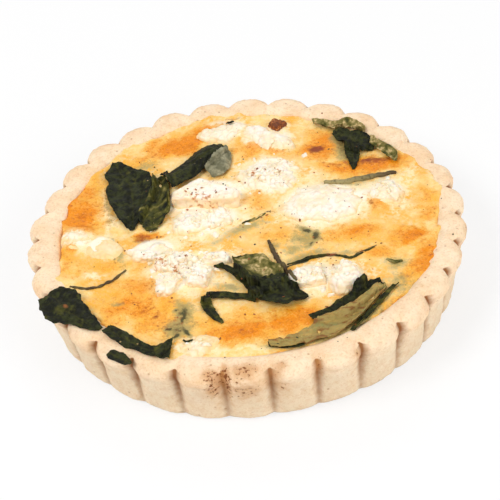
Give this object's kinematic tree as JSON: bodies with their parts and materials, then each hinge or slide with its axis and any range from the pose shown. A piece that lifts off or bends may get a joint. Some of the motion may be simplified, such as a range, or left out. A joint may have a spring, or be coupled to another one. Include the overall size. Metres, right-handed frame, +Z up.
{
  "type": "spinach quiche",
  "caption": "Round individual quiche in a fluted pastry case, its baked custard set with lumps of white cheese and wilted spinach leaves.",
  "frame": {"origin": "middle of the flat underside of the pastry case", "axes": "+Z up, out of the filling; -Y towards the viewer, +X to the viewer's right"},
  "size_m": [0.1197, 0.12, 0.0245],
  "materials": {
    "pastry": "dry, pale baked shortcrust",
    "custard": "baked egg custard, yellow with browned patches, softly glossy",
    "cheese": "white crumbly cheese with toasted specks",
    "spinach": "dark wilted leaf with a soft sheen",
    "stem": "dried brown-green stalk",
    "toasted": "dark browned flake"
  },
  "bodies": {
    "root": {"cheese_block": "cheese", "cheese_crumb_1": "cheese", "cheese_crumb_2": "cheese", "cheese_crumb_3": "cheese", "cheese_crumb_4": "cheese", "cheese_crumb_5": "cheese", "cheese_crumbly": "cheese", "cheese_disc": "cheese", "cheese_front": "cheese", "cheese_left_1": "cheese", "cheese_left_2": "cheese", "cheese_long": "cheese", "cheese_right": "cheese", "cheese_slice": "cheese", "cheese_twin_left": "cheese", "cheese_twin_right": "cheese", "cheese_under_block": "cheese", "crust": "pastry", "custard": "custard", "leaf_back_dark": "spinach", "leaf_back_flap": "spinach", "leaf_back_strip": "spinach", "leaf_back_tail": "spinach", "leaf_band": "spinach", "leaf_broad": "spinach", "leaf_cup": "spinach", "leaf_cup_lip": "spinach", "leaf_edge": "spinach", "leaf_flake": "spinach", "leaf_folded": "spinach", "leaf_front": "spinach", "leaf_front_far": "spinach", "leaf_front_near": "spinach", "leaf_hook": "spinach", "leaf_rim": "spinach", "leaf_rolled": "spinach", "leaf_sliver": "spinach", "stem_back": "stem", "stem_cup": "stem", "stem_left": "stem", "toasted_flake": "toasted"}
  },
  "joints": []
}
